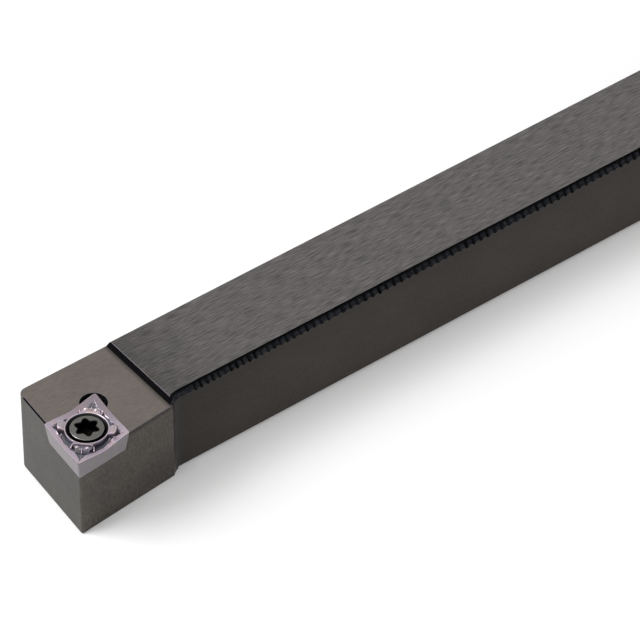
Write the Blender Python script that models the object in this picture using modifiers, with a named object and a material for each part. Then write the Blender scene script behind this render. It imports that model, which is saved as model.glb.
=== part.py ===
"""Indexable turning toolholder, right hand, with a screw-clamped 80 degree insert.

+X runs from the cutting end to the shank end, +Y to the far side of the shank, +Z up.
The origin is on the bottom face, under the middle of the shank's length and width.
"""
from math import atan2, cos, exp, hypot, pi, radians, sin, sqrt, tan

import bmesh
import bpy
from mathutils import Vector

MM = 0.001

# Shank
LENGTH = 120 * MM
SHANK_WIDTH = 10 * MM
SHANK_HEIGHT = 10 * MM
TOP_CHAMFER = 0.55 * MM
EDGE_BREAK = 0.12 * MM

# Head
NOSE_OVERHANG = 2 * MM
APPROACH = radians(5)
HEAD_LENGTH = 12.15 * MM
HEAD_DROP = 0.35 * MM
STEP_RUN = 0.52 * MM
STEP_BACK = 0.26 * MM
SHOULDER_RADIUS = 2 * MM
NOSE_EDGE_RADIUS = 0.2 * MM
FRONT_CORNER_RADIUS = 0.9 * MM

# Insert
INSCRIBED = 6.35 * MM
CORNER_ANGLE = radians(80)
THICKNESS = 2.38 * MM
RELIEF = radians(7)
CORNER_RADIUS = 0.2 * MM
HOLE_DIAMETER = 2.8 * MM
SINK_DIAMETER = 4 * MM
SINK_ANGLE = radians(60)

# Chip breaker
EDGE_SAG = 0.2 * MM
LAND_RISE = 0.08 * MM
RIM_AT_CORNER = 0.16 * MM
RIM_AT_MIDDLE = 0.42 * MM
RIM_DROP = 0.05 * MM
GROOVE_DEPTH = 0.26 * MM
GROOVE_SLOPE = 0.22 * MM
LAND_WIDTH = 0.24 * MM
LAND_SLOPE = 0.26 * MM
NOSE_BUMP_SETBACK = 1.5 * MM
NOSE_BUMP_HEIGHT = 0.16 * MM
NOSE_BUMP_LENGTH = 0.34 * MM
NOSE_BUMP_WIDTH = 0.16 * MM
WING_SPREAD = 0.62 * MM
WING_LENGTH = 0.3 * MM
WING_WIDTH = 0.13 * MM

# Clamping screw
THREAD_DIAMETER = 2.5 * MM
THREAD_PITCH = 0.45 * MM
THREAD_DEPTH_PER_PITCH = 0.6134
NECK_LENGTH = 0.5 * MM
SCREW_HEAD_DIAMETER = 3.4 * MM
SCREW_HEAD_RIM = 0.46 * MM
SCREW_HEAD_ROUND = 0.12 * MM
SCREW_LENGTH = 6.2 * MM
SOCKET_LOBE_DIAMETER = 2.46 * MM
SOCKET_WAIST_DIAMETER = 1.74 * MM
SOCKET_DEPTH = 1.1 * MM
SOCKET_POINT = 0.35 * MM

# Seat
SEAT_GAP = 0.04 * MM
FACE_INSET = 0.03 * MM
RELIEF_HOLE_DIAMETER = 2.75 * MM
RELIEF_HOLE_INSET = 1.0 * MM
RELIEF_HOLE_SINK = 0.25 * MM
THREAD_GAP = 0.05 * MM
THREAD_MOUTH = 0.2 * MM

# Facets
ARC_STEPS = 6
TURN_STEPS = 64
LOBES = 6
STEPS_PER_LOBE = 10
EDGE_STEPS = 12
TOP_RINGS = 12
SOFT_EDGE = radians(35)
FLAT_EDGE = radians(0.2)
WELD = 0.001 * MM
ON_FACE = 0.01 * MM

# Looks: red, green, blue, roughness, metallic
GROUND_STEEL = (0.17, 0.16, 0.15, 0.4, 1)
COATED_CARBIDE = (0.5, 0.42, 0.48, 0.35, 0.6)
BLACKENED_STEEL = (0.16, 0.16, 0.15, 0.35, 1)

# Places worked out from the sizes
FRONT = -LENGTH / 2
REAR = LENGTH / 2
NEAR_SIDE = -SHANK_WIDTH / 2
FAR_SIDE = SHANK_WIDTH / 2
NOSE_OFFSET = SHANK_WIDTH + NOSE_OVERHANG
EDGE_LEVEL = SHANK_HEIGHT
SEAT_LEVEL = EDGE_LEVEL - THICKNESS - SEAT_GAP
HEAD_TOP = SHANK_HEIGHT - HEAD_DROP
HALF_CORNER = CORNER_ANGLE / 2
DIAGONAL_TURN = APPROACH + HALF_CORNER
ALONG_SIDE = Vector((cos(APPROACH), sin(APPROACH)))
ALONG_END = Vector((cos(APPROACH + CORNER_ANGLE), sin(APPROACH + CORNER_ANGLE)))
INTO_SIDE = Vector((-ALONG_SIDE.y, ALONG_SIDE.x))
INTO_END = Vector((ALONG_END.y, -ALONG_END.x))
DIAGONAL = Vector((cos(DIAGONAL_TURN), sin(DIAGONAL_TURN)))
NOSE_CENTRE = Vector((FRONT + CORNER_RADIUS, FAR_SIDE - NOSE_OFFSET + CORNER_RADIUS))
INSERT_CENTRE = NOSE_CENTRE + DIAGONAL * (INSCRIBED / 2 - CORNER_RADIUS) / sin(HALF_CORNER)
FOOT_INSET = THICKNESS * tan(RELIEF)
FACE_DISTANCE = INSCRIBED / 2 - FOOT_INSET - FACE_INSET
LONG_HALF = INSCRIBED / 2 / sin(HALF_CORNER)
SHORT_HALF = INSCRIBED / 2 / cos(HALF_CORNER)
THREAD_DEPTH = THREAD_DEPTH_PER_PITCH * THREAD_PITCH
OVERCUT = 2 * MM


def clear_scene():
    for item in list(bpy.data.objects):
        bpy.data.objects.remove(item, do_unlink=True)


def new_collection(name):
    made = bpy.data.collections.new(name)
    bpy.context.scene.collection.children.link(made)
    return made


def material(name, look):
    *colour, roughness, metallic = look
    made = bpy.data.materials.new(name)
    made.use_nodes = True
    shader = made.node_tree.nodes["Principled BSDF"]
    shader.inputs["Base Color"].default_value = (*colour, 1)
    shader.inputs["Roughness"].default_value = roughness
    shader.inputs["Metallic"].default_value = metallic
    return made


def add_object(name, mesh, collection, look=None):
    made = bpy.data.objects.new(name, mesh)
    collection.objects.link(made)
    if look:
        mesh.materials.append(look)
    return made


def mark_cutter(cutter):
    cutter.hide_render = True
    cutter.display_type = "WIRE"


def cut(target, cutter):
    mark_cutter(cutter)
    boolean = target.modifiers.new("cut " + cutter.name, "BOOLEAN")
    boolean.operation = "DIFFERENCE"
    boolean.solver = "EXACT"
    boolean.object = cutter


def arc_points(centre, radius, start, end, steps):
    """Points on an arc from start to end, in radians, both ends included."""
    turns = [start + (end - start) * i / steps for i in range(steps + 1)]
    return [Vector((centre[0] + radius * cos(t), centre[1] + radius * sin(t))) for t in turns]


def rounded_corner(before, corner, after, radius):
    """The corner's arc, tangent to both of its sides."""
    to_before = (before - corner).normalized()
    to_after = (after - corner).normalized()
    half = to_before.angle(to_after) / 2
    centre = corner + (to_before + to_after).normalized() * radius / sin(half)
    first = corner + to_before * radius / tan(half) - centre
    last = corner + to_after * radius / tan(half) - centre
    start = atan2(first.y, first.x)
    sweep = (atan2(last.y, last.x) - start + pi) % (2 * pi) - pi
    return arc_points(centre, radius, start, start + sweep, ARC_STEPS)


def meet(point_a, along_a, point_b, along_b):
    """Where two lines in the plan cross."""
    across = along_a.x * along_b.y - along_a.y * along_b.x
    offset = point_b - point_a
    return point_a + along_a * (offset.x * along_b.y - offset.y * along_b.x) / across


def prism(name, outline, bottom, top, collection, look=None):
    """A flat outline as a filled curve, extruded between two levels and made a clean mesh."""
    curve = bpy.data.curves.new(name + " outline", "CURVE")
    curve.dimensions = "2D"
    curve.fill_mode = "BOTH"
    curve.extrude = (top - bottom) / 2
    spline = curve.splines.new("POLY")
    spline.points.add(len(outline) - 1)
    for point, place in zip(spline.points, outline):
        point.co = (place[0], place[1], 0, 1)
    spline.use_cyclic_u = True
    source = bpy.data.objects.new(name + " outline", curve)
    collection.objects.link(source)
    bpy.context.view_layer.update()
    evaluated = source.evaluated_get(bpy.context.evaluated_depsgraph_get())
    mesh = bpy.data.meshes.new_from_object(evaluated)
    bpy.data.objects.remove(source, do_unlink=True)
    mesh.name = name
    work = bmesh.new()
    work.from_mesh(mesh)
    bmesh.ops.translate(work, verts=work.verts, vec=(0, 0, (top + bottom) / 2))
    bmesh.ops.remove_doubles(work, verts=work.verts, dist=WELD)
    bmesh.ops.dissolve_limit(work, angle_limit=FLAT_EDGE, verts=work.verts, edges=work.edges)
    bmesh.ops.recalc_face_normals(work, faces=work.faces)
    work.to_mesh(mesh)
    work.free()
    return add_object(name, mesh, collection, look)


def wedge_box(name, corner_of, collection):
    """A box whose eight corners are moved to corner_of(u, v, w), each of u, v, w being 0 or 1."""
    mesh = bpy.data.meshes.new(name)
    work = bmesh.new()
    bmesh.ops.create_cube(work, size=1)
    for vertex in work.verts:
        vertex.co = corner_of(*(round(value + 0.5) for value in vertex.co))
    work.to_mesh(mesh)
    work.free()
    return add_object(name, mesh, collection)


def cylinder(name, radius, bottom, top, collection, upper_radius=None):
    mesh = bpy.data.meshes.new(name)
    work = bmesh.new()
    bmesh.ops.create_cone(
        work, cap_ends=True, segments=TURN_STEPS, radius1=radius,
        radius2=radius if upper_radius is None else upper_radius, depth=top - bottom)
    bmesh.ops.translate(work, verts=work.verts, vec=(0, 0, (top + bottom) / 2))
    work.to_mesh(mesh)
    work.free()
    return add_object(name, mesh, collection)


def smooth(target, angle):
    target.data.shade_smooth()
    target.data.set_sharp_from_angle(angle=angle)


def holder_outline():
    """Plan of the shank and head, running from the insert's nose along the near side."""
    side_point = INSERT_CENTRE - INTO_SIDE * FACE_DISTANCE
    end_point = INSERT_CENTRE - INTO_END * FACE_DISTANCE
    nose = meet(side_point, ALONG_SIDE, end_point, ALONG_END)
    front_corner = meet(end_point, ALONG_END, Vector((0, FAR_SIDE)), Vector((1, 0)))
    heel_x = FRONT + HEAD_LENGTH
    heel = meet(side_point, ALONG_SIDE, Vector((heel_x, 0)), Vector((0, 1)))
    fall = NEAR_SIDE - heel.y
    run = sqrt(SHOULDER_RADIUS ** 2 - (SHOULDER_RADIUS - fall) ** 2)
    centre = (heel_x + run, NEAR_SIDE - SHOULDER_RADIUS)
    start = atan2(heel.y - centre[1], heel.x - centre[0])
    shoulder = arc_points(centre, SHOULDER_RADIUS, start, pi / 2, ARC_STEPS)
    near_rear = Vector((REAR, NEAR_SIDE))
    far_rear = Vector((REAR, FAR_SIDE))
    return [
        *rounded_corner(front_corner, nose, heel, NOSE_EDGE_RADIUS),
        *shoulder,
        near_rear,
        far_rear,
        *rounded_corner(far_rear, front_corner, nose, FRONT_CORNER_RADIUS),
    ]


def weigh_edges(mesh):
    """Marks the wide chamfer on the near top edge and the shank end, and the small breaks elsewhere."""
    heel_x = FRONT + HEAD_LENGTH
    work = bmesh.new()
    work.from_mesh(mesh)
    weight = work.edges.layers.float.new("bevel_weight_edge")
    for edge in work.edges:
        a, b = (vertex.co for vertex in edge.verts)
        flat = abs(a.z - b.z) < ON_FACE
        at_end = abs(a.x - REAR) < ON_FACE and abs(b.x - REAR) < ON_FACE
        on_near_side = max(a.y, b.y) < NEAR_SIDE + ON_FACE and min(a.x, b.x) > heel_x - ON_FACE
        if at_end or (flat and a.z > SHANK_HEIGHT - ON_FACE and on_near_side):
            edge[weight] = 1
        elif flat:
            edge[weight] = EDGE_BREAK / TOP_CHAMFER
    work.to_mesh(mesh)
    work.free()


def head_top_cutter(collection):
    """Takes the head's top down, ending in a short slope up to the shank."""
    low_x = FRONT + HEAD_LENGTH + STEP_BACK - STEP_RUN
    slope = STEP_RUN / HEAD_DROP
    height = HEAD_DROP + OVERCUT

    def corner(u, v, w):
        x = low_x + slope * height * w if u else FRONT - OVERCUT
        y = FAR_SIDE + OVERCUT if v else FAR_SIDE - NOSE_OFFSET - OVERCUT
        return x, y, HEAD_TOP + height * w

    return wedge_box("head top cutter", corner, collection)


def pocket_cutter(collection):
    """The insert's seat: a flat floor and two walls that lean out at the insert's relief angle."""
    rise = THICKNESS + SEAT_GAP + OVERCUT

    def corner(u, v, w):
        wall = INSCRIBED / 2 - FOOT_INSET + SEAT_GAP + rise * tan(RELIEF) * w
        along_x = wall if u else -INSCRIBED
        along_y = wall if v else -INSCRIBED
        plan = skewed(along_x, along_y)
        return plan.x, plan.y, SEAT_LEVEL + rise * w

    return wedge_box("pocket cutter", corner, collection)


def skewed(end_distance, side_distance):
    """The plan point at these distances from the insert's centre, square to its end and side edges."""
    point_a = INSERT_CENTRE + INTO_END * end_distance
    point_b = INSERT_CENTRE + INTO_SIDE * side_distance
    return meet(point_a, ALONG_END, point_b, ALONG_SIDE)


def make_holder(parts, cutters, look):
    holder = prism("holder_body", holder_outline(), 0, SHANK_HEIGHT, parts, look)
    weigh_edges(holder.data)
    bevel = holder.modifiers.new("edges", "BEVEL")
    bevel.limit_method = "WEIGHT"
    bevel.width = TOP_CHAMFER
    bevel.segments = 1
    cut(holder, head_top_cutter(cutters))
    cut(holder, pocket_cutter(cutters))

    relief_place = INSERT_CENTRE + DIAGONAL * (LONG_HALF - RELIEF_HOLE_INSET)
    relief_bottom = SEAT_LEVEL - RELIEF_HOLE_SINK
    relief = cylinder("corner relief cutter", RELIEF_HOLE_DIAMETER / 2,
                      relief_bottom, SHANK_HEIGHT + OVERCUT, cutters)
    relief.location.xy = relief_place
    cut(holder, relief)

    hole_radius = THREAD_DIAMETER / 2 + THREAD_GAP
    bore = cylinder("screw hole cutter", hole_radius, -OVERCUT, SHANK_HEIGHT, cutters)
    bore.location.xy = INSERT_CENTRE
    cut(holder, bore)
    mouth = cylinder("screw hole mouth cutter", hole_radius, SEAT_LEVEL - THREAD_MOUTH,
                     SEAT_LEVEL + THREAD_MOUTH, cutters, hole_radius + 2 * THREAD_MOUTH)
    mouth.location.xy = INSERT_CENTRE
    cut(holder, mouth)
    return holder


def quarter_outline():
    """The insert's top outline from the middle of its 80 degree corner to that of its 100 degree one."""
    sharp_centre = LONG_HALF - CORNER_RADIUS / sin(HALF_CORNER)
    blunt_centre = SHORT_HALF - CORNER_RADIUS / cos(HALF_CORNER)
    normal = pi / 2 - HALF_CORNER
    sharp_arc = arc_points((sharp_centre, 0), CORNER_RADIUS, 0, normal, ARC_STEPS)
    blunt_arc = arc_points((0, blunt_centre), CORNER_RADIUS, normal, pi / 2, ARC_STEPS)
    edge = [sharp_arc[-1].lerp(blunt_arc[0], i / EDGE_STEPS) for i in range(1, EDGE_STEPS)]
    return [*sharp_arc, *edge, *blunt_arc]


def full_outline():
    """The whole outline, by mirroring the quarter in both axes."""
    quarter = quarter_outline()
    upper = quarter + [Vector((-p.x, p.y)) for p in reversed(quarter[:-1])]
    lower = [Vector((p.x, -p.y)) for p in reversed(upper[1:-1])]
    return upper + lower


def edge_inset(x, y):
    """How far a plan point lies inside the straight sides of the insert."""
    return INSCRIBED / 2 - abs(x) * sin(HALF_CORNER) - abs(y) * cos(HALF_CORNER)


def middle_share(x, y):
    """0 at the insert's corners, rising smoothly to 1 half way along each side."""
    along = abs(x) * cos(HALF_CORNER) - abs(y) * sin(HALF_CORNER)
    to_corner = LONG_HALF * cos(HALF_CORNER)
    foot = (LONG_HALF * cos(HALF_CORNER) - SHORT_HALF * sin(HALF_CORNER)) / 2
    share = 1 - min(1, abs(along - foot) / (to_corner - foot))
    return sin(share * pi / 2) ** 2


def ramp(value, start, end):
    """A smooth rise from 0 at start to 1 at end."""
    share = min(1, max(0, (value - start) / (end - start)))
    return share * share * (3 - 2 * share)


def lump(x, y, centre_x, centre_y, turn, length, width):
    """A smooth mound, longer along its turn than across it."""
    along = (x - centre_x) * cos(turn) + (y - centre_y) * sin(turn)
    across = (y - centre_y) * cos(turn) - (x - centre_x) * sin(turn)
    return exp(-(along / length) ** 2 - (across / width) ** 2)


def corner_lumps(x, y):
    """The moulded nose bump and its two wings behind each of the four corners."""
    total = 0
    for tip, run, side in ((LONG_HALF, abs(x), abs(y)), (SHORT_HALF, abs(y), abs(x))):
        back = tip - NOSE_BUMP_SETBACK
        total += lump(run, side, back, 0, 0, NOSE_BUMP_LENGTH, NOSE_BUMP_WIDTH)
        total += lump(run, side, back, WING_SPREAD / 2, HALF_CORNER, WING_LENGTH, WING_WIDTH)
    return min(1, total)


def top_height(x, y):
    """Height of the insert's top face over the level of its nose corners."""
    inset = edge_inset(x, y)
    middle = middle_share(x, y)
    rim = RIM_AT_CORNER + (RIM_AT_MIDDLE - RIM_AT_CORNER) * middle
    edge = -EDGE_SAG * middle
    fall = RIM_DROP * ramp(inset, 0, rim) + GROOVE_DEPTH * ramp(inset, rim, rim + GROOVE_SLOPE)
    floor = edge * (1 - ramp(inset, rim, rim + GROOVE_SLOPE)) - fall + NOSE_BUMP_HEIGHT * corner_lumps(x, y)
    reach = hypot(x, y) - SINK_DIAMETER / 2
    land = 1 - ramp(reach, LAND_WIDTH, LAND_WIDTH + LAND_SLOPE)
    return floor * (1 - land) + LAND_RISE * land


def insert_rings():
    """Closed rings of points that wrap the insert: up its hole, over its top, down its flank."""
    outline = full_outline()
    turns = [atan2(point.y, point.x) for point in outline]
    hole = HOLE_DIAMETER / 2
    sink = SINK_DIAMETER / 2
    bottom = -THICKNESS
    sink_depth = (sink - hole) / tan(SINK_ANGLE / 2)

    def circle(radius, level):
        return [Vector((radius * cos(t), radius * sin(t), level)) for t in turns]

    rings = [circle(hole, bottom), circle(hole, LAND_RISE - sink_depth), circle(sink, LAND_RISE)]
    for i in range(1, TOP_RINGS + 1):
        share = i / TOP_RINGS
        ring = []
        for point, turn in zip(outline, turns):
            rim = Vector((sink * cos(turn), sink * sin(turn)))
            place = rim.lerp(point, share)
            level = top_height(place.x, place.y)
            ring.append(Vector((place.x, place.y, level)))
        rings.append(ring)
    shrink = 1 - FOOT_INSET / (INSCRIBED / 2)
    rings.append([Vector((p.x * shrink, p.y * shrink, bottom)) for p in outline])
    return rings


def make_insert(parts, look):
    """Lofted round its rings, because its top runs from a rhombus to a circle."""
    rings = insert_rings()
    count = len(rings[0])
    mesh = bpy.data.meshes.new("cutting_insert")
    work = bmesh.new()
    made = [[work.verts.new(point) for point in ring] for ring in rings]
    for ring, following in zip(made, made[1:] + made[:1]):
        for i in range(count):
            j = (i + 1) % count
            work.faces.new((ring[i], ring[j], following[j], following[i]))
    bmesh.ops.recalc_face_normals(work, faces=work.faces)
    work.to_mesh(mesh)
    work.free()
    insert = add_object("cutting_insert", mesh, parts, look)
    insert.location = (*INSERT_CENTRE, EDGE_LEVEL)
    insert.rotation_euler.z = DIAGONAL_TURN
    smooth(insert, SOFT_EDGE)
    return insert


def screw_profile():
    """Half section of the screw, down its outer side, from the top of its head."""
    head = SCREW_HEAD_DIAMETER / 2
    thread = THREAD_DIAMETER / 2
    neck = thread - THREAD_DEPTH
    seat = (SINK_DIAMETER / 2 - head) / tan(SINK_ANGLE / 2) - LAND_RISE
    rim_level = -seat + SEAT_GAP / sin(SINK_ANGLE / 2)
    top = rim_level + SCREW_HEAD_RIM
    neck_top = rim_level - (head - neck) / tan(SINK_ANGLE / 2)
    thread_top = neck_top - NECK_LENGTH
    tip = top - SCREW_LENGTH
    edge_centre = (head - SCREW_HEAD_ROUND, top - SCREW_HEAD_ROUND)
    edge = arc_points(edge_centre, SCREW_HEAD_ROUND, pi / 2, 0, ARC_STEPS)
    return [
        Vector((0, top)),
        *edge,
        Vector((head, rim_level)),
        Vector((neck, neck_top)),
        Vector((neck, thread_top)),
        Vector((thread, thread_top - THREAD_DEPTH)),
        Vector((thread, tip + THREAD_DEPTH)),
        Vector((neck, tip)),
        Vector((0, tip)),
    ]


def turned(name, profile, collection, look):
    mesh = bpy.data.meshes.new(name)
    work = bmesh.new()
    points = [work.verts.new((point.x, 0, point.y)) for point in profile]
    for a, b in zip(points, points[1:]):
        work.edges.new((a, b))
    work.to_mesh(mesh)
    work.free()
    made = add_object(name, mesh, collection, look)
    screw = made.modifiers.new("turn", "SCREW")
    screw.steps = TURN_STEPS
    screw.render_steps = TURN_STEPS
    screw.use_merge_vertices = True
    screw.merge_threshold = WELD
    screw.use_smooth_shade = False
    return made


def socket_outline():
    middle = (SOCKET_LOBE_DIAMETER + SOCKET_WAIST_DIAMETER) / 4
    swing = (SOCKET_LOBE_DIAMETER - SOCKET_WAIST_DIAMETER) / 4
    steps = LOBES * STEPS_PER_LOBE
    turns = [2 * pi * i / steps for i in range(steps)]
    return [Vector((cos(t), sin(t))) * (middle + swing * cos(LOBES * t)) for t in turns]


def make_screw(parts, cutters, look):
    profile = screw_profile()
    top = profile[0].y
    screw = turned("clamp_screw", profile, parts, look)
    screw.location = (*INSERT_CENTRE, EDGE_LEVEL)
    socket = prism("socket cutter", socket_outline(), top - SOCKET_DEPTH, top + SOCKET_DEPTH, cutters)
    socket.parent = screw
    cut(screw, socket)
    floor = top - SOCKET_DEPTH
    point = cylinder("socket point cutter", 0, floor - SOCKET_POINT, floor + SEAT_GAP, cutters,
                     SOCKET_WAIST_DIAMETER / 2)
    point.parent = screw
    cut(screw, point)
    return screw


def main():
    clear_scene()
    parts = new_collection("turning toolholder")
    cutters = new_collection("cutters")
    make_holder(parts, cutters, material("ground steel", GROUND_STEEL))
    make_insert(parts, material("coated carbide", COATED_CARBIDE))
    make_screw(parts, cutters, material("blackened screw steel", BLACKENED_STEEL))


main()
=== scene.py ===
from bisect import bisect_left
from math import atan2, cos, exp, hypot, pi, radians, sin, sqrt, tan

import bmesh
import bpy
from mathutils import Matrix, Vector


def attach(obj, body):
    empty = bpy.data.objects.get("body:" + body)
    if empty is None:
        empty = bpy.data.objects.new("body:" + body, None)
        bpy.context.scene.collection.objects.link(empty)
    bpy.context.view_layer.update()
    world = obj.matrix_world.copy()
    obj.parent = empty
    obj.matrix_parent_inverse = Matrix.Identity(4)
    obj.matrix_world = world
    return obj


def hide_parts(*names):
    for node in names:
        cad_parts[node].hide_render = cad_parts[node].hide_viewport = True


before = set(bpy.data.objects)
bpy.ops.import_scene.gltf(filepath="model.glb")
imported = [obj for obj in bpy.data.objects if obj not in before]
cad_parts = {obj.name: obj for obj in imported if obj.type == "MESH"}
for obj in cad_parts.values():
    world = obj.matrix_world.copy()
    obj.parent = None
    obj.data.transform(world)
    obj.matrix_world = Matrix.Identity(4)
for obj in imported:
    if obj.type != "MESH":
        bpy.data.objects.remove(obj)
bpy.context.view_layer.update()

MM = 0.001

# Sizes of the CAD model
LENGTH = 120
WIDTH = 10
HEIGHT = 10
NOSE_OVERHANG = 2
APPROACH = radians(5)
HEAD_LENGTH = 12.15
HEAD_DROP = 0.35
STEP_RUN = 0.52
STEP_BACK = 0.26
EDGE_BREAK = 0.12
LOW_CHAMFER = 0.28
LOW_RUN = 0.6
FRONT_CHAMFER = 0.15
SHOULDER_RADIUS = 2
NOSE_EDGE_RADIUS = 0.2
FRONT_CORNER_RADIUS = 0.9
TOP_CHAMFER = 0.55
INSCRIBED = 6.35
CORNER_ANGLE = radians(80)
THICKNESS = 2.38
RELIEF = radians(7)
CORNER_RADIUS = 0.2
HOLE_RADIUS = 1.4
SINK_RADIUS = 2.0
SINK_ANGLE = radians(60)
SEAT_GAP = 0.04
FACE_INSET = 0.03
THREAD_RADIUS = 1.25
THREAD_PITCH = 0.45
THREAD_DEPTH = 0.276
SCREW_HEAD_RADIUS = 1.7
SCREW_HEAD_RIM = 0.46
SCREW_HEAD_ROUND = 0.12
SCREW_LENGTH = 6.2
NECK_LENGTH = 0.5
BORE_RADIUS = 1.3
BORE_MOUTH = 0.2
RELIEF_HOLE_RADIUS = 1.375
RELIEF_HOLE_INSET = 1.0
RELIEF_HOLE_SINK = 0.25

# Places that follow from the sizes
FRONT, REAR = -LENGTH / 2, LENGTH / 2
NEAR_SIDE, FAR_SIDE = -WIDTH / 2, WIDTH / 2
SEAT_LEVEL = HEIGHT - THICKNESS - SEAT_GAP
HEEL_X = FRONT + HEAD_LENGTH
STEP_TOP_X = HEEL_X + STEP_BACK
HEAD_TOP = HEIGHT - HEAD_DROP
HALF_CORNER = CORNER_ANGLE / 2
DIAGONAL_TURN = APPROACH + HALF_CORNER
ALONG_SIDE = Vector((cos(APPROACH), sin(APPROACH)))
ALONG_END = Vector((cos(APPROACH + CORNER_ANGLE), sin(APPROACH + CORNER_ANGLE)))
INTO_SIDE = Vector((-ALONG_SIDE.y, ALONG_SIDE.x))
INTO_END = Vector((ALONG_END.y, -ALONG_END.x))
DIAGONAL = Vector((cos(DIAGONAL_TURN), sin(DIAGONAL_TURN)))
NOSE_CENTRE = Vector((FRONT + CORNER_RADIUS, NEAR_SIDE - NOSE_OVERHANG + CORNER_RADIUS))
INSERT_CENTRE = NOSE_CENTRE + DIAGONAL * (INSCRIBED / 2 - CORNER_RADIUS) / sin(HALF_CORNER)
FOOT_INSET = THICKNESS * tan(RELIEF)
FACE_DISTANCE = INSCRIBED / 2 - FOOT_INSET - FACE_INSET
LONG_HALF = INSCRIBED / 2 / sin(HALF_CORNER)
SHORT_HALF = INSCRIBED / 2 / cos(HALF_CORNER)
OVERCUT = 2


# Node helpers; the Mix node keeps its factor and its two colours in these sockets
MIX_COLOUR_INPUTS = (0, 6, 7)
MIX_COLOUR_OUTPUT = 2


def new_material(name, **constants):
    """A Principled material, its tree and its shader, whose own sockets take the constants."""
    made = bpy.data.materials.new(name)
    made.use_nodes = True
    shader = made.node_tree.nodes["Principled BSDF"]
    for socket, value in constants.items():
        shader.inputs[socket.replace("_", " ")].default_value = value
    return made, made.node_tree, shader


def add(tree, kind, **settings):
    node = tree.nodes.new(kind)
    for key, value in settings.items():
        setattr(node, key, value)
    return node


def feed(tree, value, socket):
    """Links a node's output to the socket, or sets a constant there."""
    if isinstance(value, bpy.types.NodeSocket):
        tree.links.new(value, socket)
    else:
        socket.default_value = value


def attribute(tree, name):
    return add(tree, "ShaderNodeAttribute", attribute_name=name).outputs["Fac"]


def grain(tree, scale, turn=0, detail=4, roughness=0.6):
    """Noise in the row frame; scale is features per millimetre, after a turn about Z."""
    place = add(tree, "ShaderNodeTexCoord")
    turned = add(tree, "ShaderNodeMapping", vector_type="TEXTURE")
    turned.inputs["Rotation"].default_value = (0, 0, turn)
    tree.links.new(place.outputs["Object"], turned.inputs["Vector"])
    mapping = add(tree, "ShaderNodeMapping")
    mapping.inputs["Scale"].default_value = [value / MM for value in scale]
    tree.links.new(turned.outputs["Vector"], mapping.inputs["Vector"])
    noise = add(tree, "ShaderNodeTexNoise")
    noise.inputs["Scale"].default_value = 1
    noise.inputs["Detail"].default_value = detail
    noise.inputs["Roughness"].default_value = roughness
    tree.links.new(mapping.outputs["Vector"], noise.inputs["Vector"])
    return noise.outputs["Fac"]


def math(tree, operation, *values):
    node = add(tree, "ShaderNodeMath", operation=operation)
    for socket, value in zip(node.inputs, values):
        feed(tree, value, socket)
    return node.outputs[0]


def ramp_node(tree, factor, stops):
    """A colour ramp: stops are (place, (red, green, blue))."""
    node = add(tree, "ShaderNodeValToRGB")
    elements = node.color_ramp.elements
    while len(elements) < len(stops):
        elements.new(0.5)
    for element, (place, colour) in zip(elements, stops):
        element.position = place
        element.color = (*colour, 1)
    tree.links.new(factor, node.inputs["Fac"])
    return node.outputs["Color"]


def tint(colour, share):
    return tuple(value * share for value in colour)


def grey(value):
    return (value,) * 3


def mix(tree, factor, a, b, blend="MIX"):
    node = add(tree, "ShaderNodeMix", data_type="RGBA", blend_type=blend)
    for place, value in zip(MIX_COLOUR_INPUTS, (factor, a, b)):
        feed(tree, value, node.inputs[place])
    return node.outputs[MIX_COLOUR_OUTPUT]


def product(tree, first, *others):
    """The colours multiplied together."""
    for other in others:
        first = mix(tree, 1.0, first, other, "MULTIPLY")
    return first


def bump(tree, shader, height, depth):
    node = add(tree, "ShaderNodeBump")
    node.inputs["Distance"].default_value = depth * MM
    tree.links.new(height, node.inputs["Height"])
    tree.links.new(node.outputs["Normal"], shader.inputs["Normal"])


def place_ramp(tree, axis, stops):
    """A grey multiplier along one coordinate; stops are (millimetres, grey)."""
    split = add(tree, "ShaderNodeSeparateXYZ")
    tree.links.new(add(tree, "ShaderNodeTexCoord").outputs["Object"], split.inputs[0])
    low, high = stops[0][0], stops[-1][0]
    scaled = math(tree, "MULTIPLY_ADD", split.outputs[axis], 1 / (high - low) / MM, -low / (high - low))
    return ramp_node(tree, scaled, [((place - low) / (high - low), grey(value)) for place, value in stops])


# Materials: colours are linear, grain scales are features per millimetre, bump depths are millimetres
GRIND_TURN = radians(-1)
PATCH_SCALE = (0.22, 0.3, 0.3)
NOISE_LOW, NOISE_HIGH = 0.35, 0.65
STEEL_GLOSS_RANGE = 0.16
CHAMFER_BLOTCH_SCALE = (3.2, 3.2, 3.2)
CHAMFER_BUMP = 0.01


def steel(name, colour, roughness, lines, turn=0, contrast=0.25, patch=0.08, depth=0.002, spread=0.16,
          detail=4, fades=()):
    """Machined steel: fine lines, slow patches and uneven gloss; fades are (axis, stops) for place_ramp."""
    made, tree, shader = new_material(name, Metallic=1.0)
    fine = grain(tree, lines, turn, detail)
    slow = grain(tree, PATCH_SCALE, turn, detail=3, roughness=0.5)
    streaks = ramp_node(tree, fine, [
        (0.5 - spread, tint(colour, 1 - contrast)),
        (0.5, colour),
        (0.5 + spread, tint(colour, 1 + contrast))])
    patches = ramp_node(tree, slow, [
        (NOISE_LOW, (1 - patch, 1 - patch * 0.9, 1 - patch * 0.7)),
        (NOISE_HIGH, grey(1 + patch))])
    faded = [place_ramp(tree, axis, stops) for axis, stops in fades]
    tree.links.new(product(tree, streaks, patches, *faded), shader.inputs["Base Color"])
    gloss = math(tree, "MULTIPLY_ADD", fine, STEEL_GLOSS_RANGE, roughness - STEEL_GLOSS_RANGE / 2)
    tree.links.new(gloss, shader.inputs["Roughness"])
    bump(tree, shader, fine, depth)
    return made


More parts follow.
